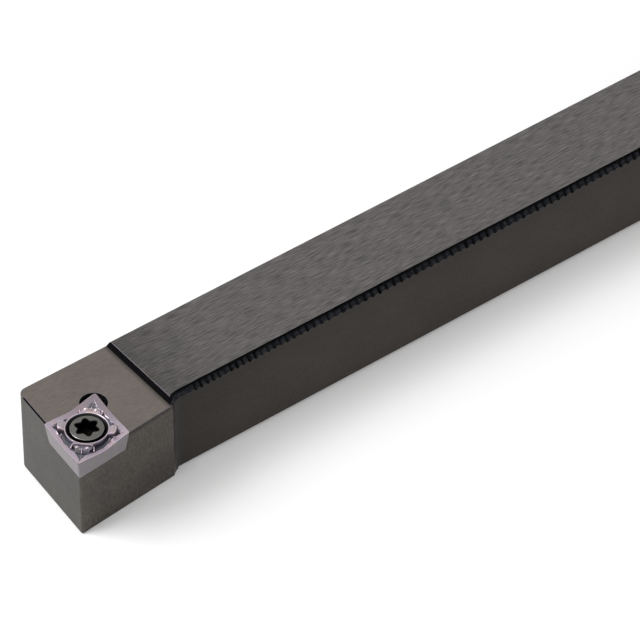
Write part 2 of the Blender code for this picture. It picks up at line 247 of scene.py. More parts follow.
def chamfer_steel():
    """The chamfer: near black, with painted shade making it nearer black in its teeth and along its top edge,
    dark grey between.
    """
    made, tree, shader = new_material("near black chamfer with painted shade", Metallic=1.0, Roughness=0.5)
    blotch = grain(tree, CHAMFER_BLOTCH_SCALE, detail=3)
    base = ramp_node(tree, attribute(tree, "tone"), [
        (0.1, grey(0.0018)), (0.6, (0.009, 0.01, 0.012)), (1.0, (0.018, 0.019, 0.022))])
    blotches = ramp_node(tree, blotch, [(NOISE_LOW, grey(0.55)), (NOISE_HIGH, grey(1.5))])
    tree.links.new(product(tree, base, blotches), shader.inputs["Base Color"])
    bump(tree, shader, blotch, CHAMFER_BUMP)
    return made


def make_materials():
    """The holder's finishes by the names that zone_of gives its faces."""
    foot = STEP_TOP_X - STEP_RUN
    return {
        "shank_top": steel(
            "ground shank top", (0.122, 0.114, 0.112), 0.42, (0.6, 9.5, 9.5), GRIND_TURN,
            contrast=0.38, patch=0.03, depth=0.004, spread=0.13, detail=3,
            fades=[("X", [(STEP_TOP_X, 0.72), (STEP_TOP_X + 6, 0.95), (STEP_TOP_X + 9, 1)])]),
        # The head top darkens toward the step's foot: painted shade in the concave corner under the step
        "head_top": steel(
            "milled head top", (0.158, 0.138, 0.125), 0.42, (1.2, 5, 5), GRIND_TURN,
            contrast=0.09, patch=0.04,
            fades=[("X", [(foot - 0.5, 1), (foot - 0.12, 0.6), (foot + 0.05, 0.2)])]),
        # The near side darkens toward the head, and is painted lighter toward the bottom and darker toward
        # the top to offset the floor shadow it reflects: painted light and shade
        "shank_side": steel(
            "ground shank side", (0.061, 0.054, 0.0485), 0.45, (5, 5, 2.2), contrast=0.15, patch=0.05,
            fades=[("X", [(HEEL_X, 0.78), (HEEL_X + 8, 0.95), (HEEL_X + 20, 1.04)]),
                   ("Z", [(0.5, 1.09), (4.5, 0.88), (9, 0.67)])]),
        # The head side darkens in a band just under its top edge: painted shade of a shaded edge chamfer
        "head_side": steel(
            "milled head side", (0.088, 0.079, 0.07), 0.48, (4, 4, 3), contrast=0.24, patch=0.1,
            fades=[("Z", [(9.0, 1), (9.3, 0.62), (9.62, 0.5)])]),
        "head_end": steel("milled head end", (0.092, 0.088, 0.081), 0.48, (4, 4, 3), contrast=0.24),
        # Lighter rounded edges: partly wear, partly a painted highlight
        "worn_edge_highlight": steel("worn edge with painted highlight", (0.13, 0.12, 0.136), 0.52, (3, 3, 3), contrast=0.12),
        "chamfer": chamfer_steel(),
        # Near black painted shade on the bore, the pocket's narrow faces and the step's slope, and a painted
        # dark reflection on the end face's top break
        "black": steel("steel painted with shade and dark reflection", (0.002, 0.002, 0.0023), 0.5, (5, 5, 5), contrast=0.3),
        # Darker than the head's own steel: painted shade in the pocket
        "pocket": steel("pocket wall", (0.055, 0.05, 0.046), 0.5, (4, 4, 3), contrast=0.2),
    }


# Tones stored on the insert's points, where the rim's is 1, and their places on its ramps; the hole's near
# black is painted shade and the groove's darker blue-grey is partly painted shade
HOLE_TONE, GROOVE_TONE, FLANK_TONE = -1, 0, 2
HOLE_STOP, HOLE_END, GROOVE_STOP, SLOPE_STOP = 0.0, 0.2, 1 / 3, 0.55
RIM_STOP, RIM_END, FLANK_STOP = 2 / 3, 0.7, 0.72
POLISH_END = 0.69
HOLE_COLOUR = (0.004, 0.004, 0.004)
GROOVE_COLOUR = (0.125, 0.13, 0.15)
RIM_COLOUR = (0.43, 0.365, 0.41)
FLANK_COLOUR = (0.216, 0.2, 0.207)
CREAM_COLOUR = (0.42, 0.36, 0.355)
BRONZE_COLOUR = (0.36, 0.24, 0.185)
COATING_BUMP = 0.004


def coated():
    """Coated carbide: lilac on the rim and land, blue-grey in the groove, greyer on the ground flanks; the
    hole is near black painted shade, the groove's blue-grey is partly painted shade, and the hollow share
    paints shade in creases and a highlight on ridges.
    """
    made, tree, shader = new_material("coated carbide")
    tone = attribute(tree, "tone")
    warm = attribute(tree, "warm")
    place = math(tree, "MULTIPLY_ADD", tone, 1 / 3, 1 / 3)
    base = ramp_node(tree, place, [
        (HOLE_STOP, HOLE_COLOUR), (HOLE_END, HOLE_COLOUR), (GROOVE_STOP, GROOVE_COLOUR),
        (SLOPE_STOP, tint(RIM_COLOUR, 0.62)), (RIM_STOP, RIM_COLOUR), (RIM_END, RIM_COLOUR),
        (FLANK_STOP, FLANK_COLOUR)])
    cream = ramp_node(tree, math(tree, "MULTIPLY", warm, 0.5), [(0.5, CREAM_COLOUR), (0.9, BRONZE_COLOUR)])
    held = math(tree, "MULTIPLY", math(tree, "MINIMUM", warm, 1.0), math(tree, "MINIMUM", tone, 1.0))
    base = mix(tree, held, base, cream)
    fine = grain(tree, (9, 9, 9))
    slow = grain(tree, (1.6, 1.6, 1.6), detail=2, roughness=0.5)
    speckle = ramp_node(tree, fine, [(0.3, (0.88, 0.86, 0.88)), (0.7, (1.1, 1.12, 1.1))])
    clouds = ramp_node(tree, slow, [(NOISE_LOW, (0.95, 0.97, 1.06)), (NOISE_HIGH, (1.07, 1.0, 0.96))])
    # The hollow share paints shade into creases and along the cutting edge, and a painted highlight onto
    # ridges
    relief = ramp_node(tree, attribute(tree, "hollow"), [
        (0.0, (0.4, 0.33, 0.36)), (0.4, grey(0.88)), (0.5, grey(1)), (0.6, grey(1.1)),
        (1.0, (1.6, 1.6, 1.65))])
    tree.links.new(product(tree, base, speckle, clouds, relief), shader.inputs["Base Color"])
    metal = ramp_node(tree, place, [
        (HOLE_STOP, grey(0.3)), (GROOVE_STOP, grey(0.85)), (POLISH_END, grey(0.75)), (FLANK_STOP, grey(0.3))])
    tree.links.new(metal, shader.inputs["Metallic"])
    gloss = ramp_node(tree, place, [
        (HOLE_STOP, grey(0.6)), (GROOVE_STOP, grey(0.3)), (POLISH_END, grey(0.34)), (FLANK_STOP, grey(0.42))])
    tree.links.new(gloss, shader.inputs["Roughness"])
    bump(tree, shader, fine, COATING_BUMP)
    return made


# Tones stored on the screw's points
SOCKET_TONE, SOCKET_EDGE_TONE, HEAD_TONE, SHANK_TONE = 0, 0.6, 1, 2
TURNED_RINGS_PER_MM = 11
TURNED_GLOSS_RANGE = 0.15
TURNED_BUMP = 0.004


def screw_steel():
    """The screw: a turned head with a painted highlight round its rounded rim, and a black socket and black
    steel below the head, both painted shade.
    """
    made, tree, shader = new_material("screw steel", Metallic=1.0)
    place = math(tree, "MULTIPLY", attribute(tree, "tone"), 1 / SHANK_TONE)
    # Near black in the socket, at the rim's foot and below the head, painted shade; lighter grey partway
    # round the rim, a painted highlight
    base = ramp_node(tree, place, [
        (0.0, grey(0.004)), (0.28, grey(0.012)), (0.45, (0.128, 0.126, 0.115)), (0.55, (0.128, 0.126, 0.12)),
        (0.6, grey(0.23)), (0.7, (0.02, 0.02, 0.021))])
    centred = add(tree, "ShaderNodeVectorMath", operation="SUBTRACT")
    tree.links.new(add(tree, "ShaderNodeTexCoord").outputs["Object"], centred.inputs[0])
    centred.inputs[1].default_value = Vector((*INSERT_CENTRE, HEIGHT)) * MM
    reach = add(tree, "ShaderNodeVectorMath", operation="LENGTH")
    tree.links.new(centred.outputs[0], reach.inputs[0])
    rings = add(tree, "ShaderNodeTexNoise", noise_dimensions="1D")
    rings.inputs["Scale"].default_value = TURNED_RINGS_PER_MM / MM
    rings.inputs["Detail"].default_value = 3
    tree.links.new(reach.outputs["Value"], rings.inputs["W"])
    turned = ramp_node(tree, rings.outputs["Fac"], [(NOISE_LOW, grey(0.86)), (NOISE_HIGH, grey(1.12))])
    tree.links.new(product(tree, base, turned), shader.inputs["Base Color"])
    lowest = ramp_node(tree, place, [(0.52, grey(0.3)), (0.58, grey(0.1))])
    gloss = math(tree, "MULTIPLY_ADD", rings.outputs["Fac"], TURNED_GLOSS_RANGE, lowest)
    tree.links.new(gloss, shader.inputs["Roughness"])
    bump(tree, shader, rings.outputs["Fac"], TURNED_BUMP)
    return made


# Mesh helpers
CORNER_STEPS = 10
CONE_STEPS = 96


def ease(value, start, end, height=1):
    """0 up to the start, rising smoothly to the height at the end."""
    share = min(1, max(0, (value - start) / (end - start)))
    return height * (share * share * (3 - 2 * share))


def fall_off(value, start, end, height=1):
    """The height up to the start, falling smoothly to 0 at the end."""
    return height * (1 - ease(value, start, end))


def lerp(a, b, share):
    return a + (b - a) * share


def arc_points(centre, radius, start, end, steps):
    turns = [start + (end - start) * i / steps for i in range(steps + 1)]
    return [Vector((centre[0] + radius * cos(t), centre[1] + radius * sin(t))) for t in turns]


def rounded_corner(before, corner, after, radius):
    """The corner's arc, tangent to both of its sides."""
    to_before = (before - corner).normalized()
    to_after = (after - corner).normalized()
    half = to_before.angle(to_after) / 2
    centre = corner + (to_before + to_after).normalized() * radius / sin(half)
    first = corner + to_before * radius / tan(half) - centre
    last = corner + to_after * radius / tan(half) - centre
    start = atan2(first.y, first.x)
    sweep = (atan2(last.y, last.x) - start + pi) % (2 * pi) - pi
    return arc_points(centre, radius, start, start + sweep, CORNER_STEPS)


def meet(point_a, along_a, point_b, along_b):
    """Where two lines of the plan cross."""
    across = along_a.x * along_b.y - along_a.y * along_b.x
    offset = point_b - point_a
    return point_a + along_a * (offset.x * along_b.y - offset.y * along_b.x) / across


def link(name, data):
    """A new object of the scene that shows the data."""
    made = bpy.data.objects.new(name, data)
    bpy.context.scene.collection.objects.link(made)
    return made


def add_object(name, work, materials=()):
    """An object from a bmesh whose points are in millimetres."""
    mesh = bpy.data.meshes.new(name)
    bmesh.ops.recalc_face_normals(work, faces=work.faces)
    work.to_mesh(mesh)
    work.free()
    mesh.transform(Matrix.Scale(MM, 4))
    for material in materials:
        mesh.materials.append(material)
    return link(name, mesh)


def prism(outline, bottom, top):
    work = bmesh.new()
    lower = [work.verts.new((p[0], p[1], bottom)) for p in outline]
    upper = [work.verts.new((p[0], p[1], top)) for p in outline]
    work.faces.new(lower)
    work.faces.new(upper)
    for i in range(len(outline)):
        j = (i + 1) % len(outline)
        work.faces.new((lower[i], lower[j], upper[j], upper[i]))
    return work


def wedge_box(corner_of):
    """A box whose corners corner_of(u, v, w) gives, each of u, v and w 0 or 1."""
    work = bmesh.new()
    bmesh.ops.create_cube(work, size=1)
    for vertex in work.verts:
        vertex.co = corner_of(*(round(value + 0.5) for value in vertex.co))
    return work


def cone(centre, radius, bottom, top, upper_radius=None):
    """A closed cylinder, or a cone where the upper radius is given."""
    work = bmesh.new()
    bmesh.ops.create_cone(work, cap_ends=True, segments=CONE_STEPS, radius1=radius,
                          radius2=upper_radius or radius, depth=top - bottom)
    bmesh.ops.translate(work, verts=work.verts, vec=(*centre, (top + bottom) / 2))
    return work


def tube(rings, looped=False):
    """Skins rings of points; the two end rings are capped, or joined where the tube is looped."""
    work = bmesh.new()
    made = [[work.verts.new(point) for point in ring] for ring in rings]
    for ring, following in zip(made, made[1:] + (made[:1] if looped else [])):
        for i in range(len(ring)):
            j = (i + 1) % len(ring)
            work.faces.new((ring[i], ring[j], following[j], following[i]))
    if not looped:
        work.faces.new(made[0])
        work.faces.new(made[-1])
    return work


def bake(target):
    """Applies the object's modifiers to its mesh."""
    bpy.context.view_layer.update()
    evaluated = target.evaluated_get(bpy.context.evaluated_depsgraph_get())
    mesh = bpy.data.meshes.new_from_object(evaluated)
    target.modifiers.clear()
    target.data = mesh


def cut(target, works):
    """Cuts the works, in millimetres, out of the target."""
    cutters = [add_object(f"cutter_{i}", work) for i, work in enumerate(works)]
    for cutter in cutters:
        boolean = target.modifiers.new(cutter.name, "BOOLEAN")
        boolean.operation = "DIFFERENCE"
        boolean.solver = "EXACT"
        boolean.object = cutter
    bake(target)
    for cutter in cutters:
        bpy.data.objects.remove(cutter, do_unlink=True)


# Holder: the ridges that a cutter left across the near top chamfer, and the limits of its finishes
RIDGE_PITCH = (0.72, 0.92)
RIDGE_PITCH_ENDS = (-42, -24)
RIDGE_DEPTH = 0.12
RIDGE_HOOK = 0.22
RIDGE_PROFILE = ((0.16, 0.3), (0.55, 1), (0.9, 0.8))
RIDGE_START = HEEL_X + 1.6
RIDGE_FADE = 2.0
RIDGE_STEPS = 10
RIDGE_TOP_FADE = (0.05, 0.28)
TOOTH_HALF_WIDTH = 0.24
CUTTER_SLACK = 0.3
CUTTER_RISE = 0.7
CHAMFER_ZONE_DEPTH = 1
CHAMFER_ZONE_WIDTH = 0.8
ZONE_MARGIN = 0.1
SLACK = 0.02
TOUCH = 0.01
LEVEL_NORMAL = 0.98
SLOPING_NORMAL = 0.3
POCKET_NORMALS = (0.2, 0.8)
FRONT_BREAK_NORMALS = (-0.3, 0.4)
FRONT_BREAK_END = FRONT + 3
HEAD_END_NORMAL = -0.6
BORE_ZONE_RADIUS = BORE_RADIUS + 0.3
POCKET_ZONE_RADIUS = 4
POCKET_WALL_AREA = 1
EDGE_ROUND = 0.05
SMOOTH_ANGLE = radians(30)
ROUND_ANGLE = radians(32)
WORN_HIGHLIGHT_AREA = 2
WORN_HIGHLIGHT_NORMALS = (0.35, 0.985)
WORN_HIGHLIGHT_STEP_DEPTH = 0.04
STRIP_WIDTH = 1.3
STRIP_LENGTH = 2


def holder_outline():
    """The plan in four stretches: nose edge, shoulder, shank end and front corner."""
    side_point = INSERT_CENTRE - INTO_SIDE * FACE_DISTANCE
    end_point = INSERT_CENTRE - INTO_END * FACE_DISTANCE
    nose = meet(side_point, ALONG_SIDE, end_point, ALONG_END)
    front_corner = meet(end_point, ALONG_END, Vector((0, FAR_SIDE)), Vector((1, 0)))
    heel = meet(side_point, ALONG_SIDE, Vector((HEEL_X, 0)), Vector((0, 1)))
    fall = NEAR_SIDE - heel.y
    run = sqrt(SHOULDER_RADIUS ** 2 - (SHOULDER_RADIUS - fall) ** 2)
    centre = (HEEL_X + run, NEAR_SIDE - SHOULDER_RADIUS)
    heel_turn = atan2(heel.y - centre[1], heel.x - centre[0])
    shoulder = arc_points(centre, SHOULDER_RADIUS, heel_turn, pi / 2, steps=16)
    return (rounded_corner(front_corner, nose, heel, NOSE_EDGE_RADIUS), shoulder,
            [Vector((REAR, NEAR_SIDE)), Vector((REAR, FAR_SIDE))],
            rounded_corner(Vector((REAR, FAR_SIDE)), front_corner, nose, FRONT_CORNER_RADIUS))


def ridge_stations(start, end):
    """Places along the chamfer, each with its share of its ridge's pitch."""
    places, x, step = [], start, 0
    while x < end:
        places.append((x, step % RIDGE_STEPS / RIDGE_STEPS))
        x += lerp(*RIDGE_PITCH, ease(x, *RIDGE_PITCH_ENDS)) / RIDGE_STEPS
        step += 1
    return places


def tooth(x, share):
    """How deep the ridges are cut here, from 0 to 1, slowly varying along the shank."""
    size = 0.75 + 0.25 * sin(x * 5.1) * cos(x * 2.3)
    begun = ease(x, RIDGE_START, RIDGE_START + RIDGE_FADE)
    return size * begun * exp(-((share - 0.5) / TOOTH_HALF_WIDTH) ** 2)


def edge_cutter(stations, level, size):
    """Cuts an edge at 45 degrees; stations are (plan point, outward direction, depth of a tooth)."""
    rings = []
    for point, out, deep in stations:
        inner = Vector((point.x - out.x * size, point.y - out.y * size, level))
        inward = Vector((-out.x, -out.y, -1)).normalized() * RIDGE_DEPTH * deep
        lower = Vector((point.x, point.y, level - size - RIDGE_HOOK * deep))
        slope = (lower - inner).normalized()
        hollow = [inner.lerp(lower, down) + inward * share for down, share in RIDGE_PROFILE]
        outer = Vector((point.x + out.x, point.y + out.y, level + CUTTER_RISE))
        rings.append([inner - slope * CUTTER_SLACK, inner, *hollow, lower + slope * CUTTER_SLACK, outer])
    return tube(rings)


def chamfer_cutter(shoulder, places):
    """The ridged chamfer along the near top edge, which starts plain on the shoulder."""
    centre = Vector((shoulder[-1].x, NEAR_SIDE - SHOULDER_RADIUS))
    stations = [(p, (centre - p).normalized(), 0) for p in shoulder]
    stations[0] = (stations[0][0] - Vector((0.02, 0)), stations[0][1], 0)
    stations += [(Vector((x, NEAR_SIDE)), Vector((0, -1)), tooth(x, share)) for x, share in places[1:]]
    return edge_cutter(stations, HEIGHT, TOP_CHAMFER)


def low_cutter(shoulder):
    """The chamfer along the near side's bottom edge, which ends at the shoulder."""
    def corner(u, v, w):
        x = REAR + OVERCUT if u else shoulder[-1].x - LOW_RUN
        inward, down = (OVERCUT, -OVERCUT) if v else (-OVERCUT, OVERCUT)
        back = 0 if w else OVERCUT
        return x, NEAR_SIDE + LOW_CHAMFER / 2 + inward - back, LOW_CHAMFER / 2 + down - back

    return wedge_box(corner)


def front_cutter(front):
    """The small break along the end face's top edge."""
    end_point = INSERT_CENTRE - INTO_END * FACE_DISTANCE
    stations = [(end_point - ALONG_END * 6, -INTO_END, 0), (front[-1] - ALONG_END * 0.2, -INTO_END, 0)]
    return edge_cutter(stations, HEAD_TOP, FRONT_CHAMFER)


def skewed(end_distance, side_distance):
    """The plan point at these distances from the insert's centre, toward its two seated sides."""
    point_a = INSERT_CENTRE + INTO_END * end_distance
    point_b = INSERT_CENTRE + INTO_SIDE * side_distance
    return meet(point_a, ALONG_END, point_b, ALONG_SIDE)


def head_top_cutter():
    """Lowers the head's top, with the step's slope at its rear."""
    slope = STEP_RUN / HEAD_DROP
    height = HEAD_DROP + OVERCUT

    def corner(u, v, w):
        x = STEP_TOP_X - STEP_RUN + slope * height * w if u else FRONT - OVERCUT
        y = FAR_SIDE + OVERCUT if v else NEAR_SIDE - NOSE_OVERHANG - OVERCUT
        return x, y, HEIGHT - HEAD_DROP + height * w

    return wedge_box(corner)


def pocket_cutter():
    """The insert's pocket, whose two walls lean back by the insert's relief angle."""
    rise = THICKNESS + SEAT_GAP + OVERCUT

    def corner(u, v, w):
        wall = INSCRIBED / 2 - FOOT_INSET + SEAT_GAP + rise * tan(RELIEF) * w
        plan = skewed(wall if u else -INSCRIBED, wall if v else -INSCRIBED)
        return plan.x, plan.y, SEAT_LEVEL + rise * w

    return wedge_box(corner)


def by_chamfer(x, y, z):
    """Whether a point lies along the near top edge, where the ridges are."""
    return x > HEEL_X - ZONE_MARGIN and y < NEAR_SIDE + CHAMFER_ZONE_WIDTH and z > HEIGHT - CHAMFER_ZONE_DEPTH


def zone_of(face):
    """Which finish a face of the holder has, from its place and direction; black faces are painted shade."""
    x, y, z = face.calc_center_median() / MM
    normal = face.normal
    reach = hypot(x - INSERT_CENTRE.x, y - INSERT_CENTRE.y)
    wall = (Vector((x, y)) - INSERT_CENTRE).dot(INTO_END)
    level, sloping = abs(normal.z) > LEVEL_NORMAL, normal.z > SLOPING_NORMAL
    if level and z > HEIGHT - SLACK:
        return "shank_top"
    if level and z > HEAD_TOP - SLACK:
        return "head_top"
    on_step = HEAD_TOP - SLACK < z and x < STEP_TOP_X + SLACK
    # Black faces are painted: shade on the step's slope, in the bore and on the pocket's narrow faces, and a
    # dark reflection on the end face's top break.
    if sloping and on_step:
        return "black"
    if sloping and by_chamfer(x, y, z):
        return "chamfer"
    if reach < BORE_ZONE_RADIUS:
        return "black"
    in_pocket = SEAT_LEVEL - ZONE_MARGIN < z < HEAD_TOP and reach < POCKET_ZONE_RADIUS
    upright = abs(normal.z) < SLOPING_NORMAL and normal.x < POCKET_NORMALS[0] and normal.y < POCKET_NORMALS[1]
    if in_pocket and upright and wall > ZONE_MARGIN - FACE_DISTANCE:
        return "pocket" if face.calc_area() > POCKET_WALL_AREA * MM ** 2 else "black"
    on_front_break = x < FRONT_BREAK_END and HEAD_TOP - FRONT_CHAMFER - TOUCH < z < HEAD_TOP
    if on_front_break and normal.x < FRONT_BREAK_NORMALS[0] and normal.z > FRONT_BREAK_NORMALS[1]:
        return "black"
    if x < HEEL_X + TOUCH:
        return "head_end" if normal.x < HEAD_END_NORMAL else "head_side"
    return "shank_side"


def weigh_edges(mesh):
    """Gives each edge its share of the top chamfer's width; the near top edge is cut on its own."""
    work = bmesh.new()
    work.from_mesh(mesh)
    weight = work.edges.layers.float.new("bevel_weight_edge")
    for edge in work.edges:
        a, b = (vertex.co / MM for vertex in edge.verts)
        flat = abs(a.z - b.z) < TOUCH
        near = max(a.y, b.y) < NEAR_SIDE + TOUCH
        if min(a.x, b.x) > REAR - TOUCH:
            edge[weight] = 1
        elif flat and not (near and a.z > HEIGHT - TOUCH and max(a.x, b.x) > HEEL_X + TOUCH):
            edge[weight] = EDGE_BREAK / TOP_CHAMFER
    work.to_mesh(mesh)
    work.free()


def round_edges(target, **settings):
    """Bevels the target's edges, with the modifier's own names for the settings."""
    bevel = target.modifiers.new("edges", "BEVEL")
    for key, value in settings.items():
        setattr(bevel, key, value)
    bake(target)


def mark_chamfer(mesh, places):
    """Stores the chamfer's tone: 0 in its teeth and along its top edge, where its material paints shade, 1
    between.
    """
    tones = mesh.attributes.new("tone", "FLOAT", "POINT")
    for i, vertex in enumerate(mesh.vertices):
        x, y, z = vertex.co / MM
        tone = 1
        if by_chamfer(x, y, z):
            place = min(len(places) - 1, bisect_left(places, (x, 0)))
            tone = (1 - tooth(x, places[place][1])) * ease(HEIGHT - z, *RIDGE_TOP_FADE)
        tones.data[i].value = tone


def split_long_faces(work):
    """Cuts the shank's long faces into short ones, so that no face beside the ridges is a sliver."""
    cuts = [((0, NEAR_SIDE + STRIP_WIDTH, 0), (0, 1, 0)), ((0, 0, HEIGHT - STRIP_WIDTH), (0, 0, 1))]
    places = range(round(STEP_TOP_X) + 2, round(REAR), STRIP_LENGTH)
    for place, direction in cuts + [((x, 0, 0), (1, 0, 0)) for x in places]:
        geometry = set()
        for face in work.faces:
            ends = [vertex.co.x / MM for vertex in face.verts]
            if max(ends) > STEP_TOP_X + 1 and max(ends) - min(ends) > 1.5 * STRIP_LENGTH:
                geometry.update([face, *face.edges, *face.verts])
        bmesh.ops.bisect_plane(work, geom=list(geometry), plane_co=Vector(place) * MM, plane_no=direction)


def finish_faces(mesh, materials):
    """Gives each face its finish, after the long faces are split."""
    names = list(materials)
    for name in names:
        mesh.materials.append(materials[name])
    work = bmesh.new()
    work.from_mesh(mesh)
    split_long_faces(work)
    work.normal_update()
    for face in work.faces:
        face.material_index = names.index(zone_of(face))
    work.to_mesh(mesh)
    work.free()


def wear_and_highlight_edges(mesh, names):
    """Turns the rounded edges round the head's top and at the step's top into bright ones: partly wear,
    partly a painted highlight.
    """
    for face in mesh.polygons:
        x, y, z = face.center / MM
        rounded = WORN_HIGHLIGHT_NORMALS[0] < face.normal.z < WORN_HIGHLIGHT_NORMALS[1]
        at_step = abs(x - STEP_TOP_X) < ZONE_MARGIN and z > HEIGHT - WORN_HIGHLIGHT_STEP_DEPTH
        at_head = HEAD_TOP - EDGE_ROUND < z < HEAD_TOP + TOUCH and x < HEEL_X + EDGE_ROUND
        narrow = face.area < WORN_HIGHLIGHT_AREA * MM ** 2
        if rounded and narrow and (at_step or at_head) and face.material_index != names.index("chamfer"):
            face.material_index = names.index("worn_edge_highlight")


def make_holder(materials):
    nose, shoulder, rear, front = holder_outline()
    places = ridge_stations(shoulder[-1].x, REAR + OVERCUT)
    holder = add_object("holder_finish", prism([*nose, *shoulder, *rear, *front], 0, HEIGHT))
    weigh_edges(holder.data)
    round_edges(holder, limit_method="WEIGHT", width=TOP_CHAMFER * MM, segments=1, use_clamp_overlap=False)
    relief_place = INSERT_CENTRE + DIAGONAL * (LONG_HALF - RELIEF_HOLE_INSET)
    mouth_radius = BORE_RADIUS + 2 * BORE_MOUTH
    cut(holder, [
        chamfer_cutter(shoulder, places),
        low_cutter(shoulder),
        head_top_cutter(),
        front_cutter(front),
        pocket_cutter(),
        cone(relief_place, RELIEF_HOLE_RADIUS, SEAT_LEVEL - RELIEF_HOLE_SINK, HEIGHT + OVERCUT),
        cone(INSERT_CENTRE, BORE_RADIUS, -OVERCUT, HEIGHT),
        cone(INSERT_CENTRE, BORE_RADIUS, SEAT_LEVEL - BORE_MOUTH, SEAT_LEVEL + BORE_MOUTH, mouth_radius),
    ])
    finish_faces(holder.data, materials)
    holder.data.shade_smooth()
    holder.data.set_sharp_from_angle(angle=SMOOTH_ANGLE)
    round_edges(holder, limit_method="ANGLE", angle_limit=ROUND_ANGLE, width=EDGE_ROUND * MM, segments=2,
                use_clamp_overlap=False, harden_normals=True)
    wear_and_highlight_edges(holder.data, list(materials))
    mark_chamfer(holder.data, places)
    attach(holder, "holder")
    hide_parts("holder_body")


# Insert: run is the distance from the centre toward a corner and side the distance across that line.
# Levels are measured from the corners' height. Three values are start, end and rise, or for a waist or
# shoulder of the rim centre, half width and rise. A pair ending in ENDS is where a form fades out.
TOP_SPACING = 0.04
TOP_STEPS = 72
HOLLOW_STEPS = 3
HOLLOW_RANGE = 0.045
SINK_RIM = 2.08
SINK_EDGE_TONE = 0.6
SINK_SHARES = (0.25, 0.5, 0.75, 0.93)
FOOT_BREAK = 0.1
FOOT_ROUND = 0.012
INSERT_SMOOTH_ANGLE = radians(50)
EDGE_SAG = (0.2, 0.36)
HONE = 0.035
HONE_DROP = 0.006
FLANK_SHARES = (0.025, 0.06, 0.35, 0.65, 0.9, 0.975, 1)
RIM_FALL = 0.05
RIM_SLOPE = 0.14
RIM_WIDTH = 0.46
REAR_WIDER = (0.8, 1.6, 0.13)
RIM_WAIST = (0.35, 0.55, -0.08)
RIM_SHOULDER = (1.95, 0.55, 0.13)
RIM_TIP = (2.7, 3.7, -0.3)
GROOVE_LEVEL = -0.3
GROOVE_STEP = 0.08
VALLEY_TOP = -0.08
VALLEY_FALL = (0.3, 1.3, -0.22)
VALLEY_SIDE_RISE = 0.34
VALLEY_HIGHEST = -0.05
VALLEY_ENDS = (1.35, 1.7)
SHARP_INSET, BLUNT_INSET = 0.1, 0.05
LAND_LEVEL = 0.08
LAND_REACH = 2.17
LAND_SLOPE = 0.12
LAND_RING = (-0.02, 0.04)
LAND_TONE, LAND_WARMTH = 0.9, 0.35
CORNER_FORMS_START = 1.7
BALL_HALF = (0.24, 0.09)
BALL_HEIGHT = 0.16
SHARP_BALL, BLUNT_BALL = 3.0, 3.27
BALL_TONE = 0.75
LOBE_HEIGHT = 0.3
LOBE_CENTRE = 2.36
LOBE_HALF = (0.52, 0.57)
LOBE_EDGE = (0.9, 1.08)
LOBE_TOP_START = 2.5
LOBE_TONE, LOBE_WARMTH = 0.85, 0.45
FAN_LEVEL = -0.02
FAN_ENDS = (2.78, 3.08)
FAN_HALF = 0.92
FAN_NARROWING = 0.3
FAN_EDGE = (-0.05, 0.12)
FAN_TONE, REAR_FAN_TONE = 0.12, 0.6
PLATEAU_ENDS = (2.24, 2.3)
PLATEAU_EDGE = 0.08
PLATEAU_TONE = 0.7
WARM_SPOT_HALF = (0.4, 0.45)
PAINTED_REAR_SHADE = (-0.5, 4.2, 0.42)

# Moulded mounds: centre and half sizes along run and side, height, and the tone at the top
PETAL = ((2.63, 0.5), (0.21, 0.27), 0.16, 0.9)
SPINE = ((2.9, 0), (0.24, 0.09), 0.05, 0.7)
BACKBONE = ((3.7, 0), (0.5, 0.09), 0.05, 0.35)
BLUNT_WING = ((2.4, 1.3), (0.16, 0.24), 0.2, 1)

# Moulded blocks: centre, turn, half sizes, softness of the edge, height, and the tone at the top
SHARP_WING = ((2.42, 1.08), radians(10), (0.32, 0.08), 0.045, 0.26, 1)
OUTER_BLOCK = ((2.86, 0.74), radians(-25), (0.12, 0.05), 0.06, 0.16, 0.95)
INNER_BLOCK = ((2.32, 0.86), radians(-20), (0.1, 0.04), 0.06, 0.14, 0.85)

CREASE = (2.33, 0.08)
CREASE_ENDS = (0.75, 0.95)
CREASE_DEPTH = 0.05


def soft_box(run, side, centre, turn, half, soft):
    """1 on a small raised block, falling to 0 over its soft edge."""
    along = abs((run - centre[0]) * cos(turn) + (side - centre[1]) * sin(turn)) - half[0]
    across = abs((side - centre[1]) * cos(turn) - (run - centre[0]) * sin(turn)) - half[1]
    return fall_off(along, -soft, soft) * fall_off(across, -soft, soft)


def mound(run, side, centre, half):
    """1 at the middle of a small rounded rise, falling to 0 at its oval outline."""
    return max(0, 1 - ((run - centre[0]) / half[0]) ** 2 - ((side - centre[1]) / half[1]) ** 2)


def insert_outline():
    """The top outline in the insert's own axes, from the nose corner round, at even spacing."""
    sharp = (LONG_HALF - CORNER_RADIUS / sin(HALF_CORNER), 0)
    blunt = (0, SHORT_HALF - CORNER_RADIUS / cos(HALF_CORNER))
    normal = pi / 2 - HALF_CORNER
    steps = round(CORNER_RADIUS * normal / TOP_SPACING)
    sharp_arc = arc_points(sharp, CORNER_RADIUS, 0, normal, steps)
    blunt_arc = arc_points(blunt, CORNER_RADIUS, normal, pi / 2, steps)
    count = round((blunt_arc[0] - sharp_arc[-1]).length / TOP_SPACING)
    edge = [sharp_arc[-1].lerp(blunt_arc[0], i / count) for i in range(1, count)]
    quarter = [*sharp_arc, *edge, *blunt_arc]
    upper = quarter + [Vector((-p.x, p.y)) for p in reversed(quarter[:-1])]
    return upper + [Vector((p.x, -p.y)) for p in reversed(upper[1:-1])]


def hump(value, centre, half, height=1):
    """The height at the centre, falling smoothly to 0 at half away from it."""
    return fall_off(abs(value - centre), 0, half, height)


def rim_width(along):
    """The rim's width; along runs from the side's 100 degree corner, below 0, to its 80 degree one."""
    return RIM_WIDTH + hump(along, *RIM_WAIST) + hump(along, *RIM_SHOULDER) + ease(along, *RIM_TIP)


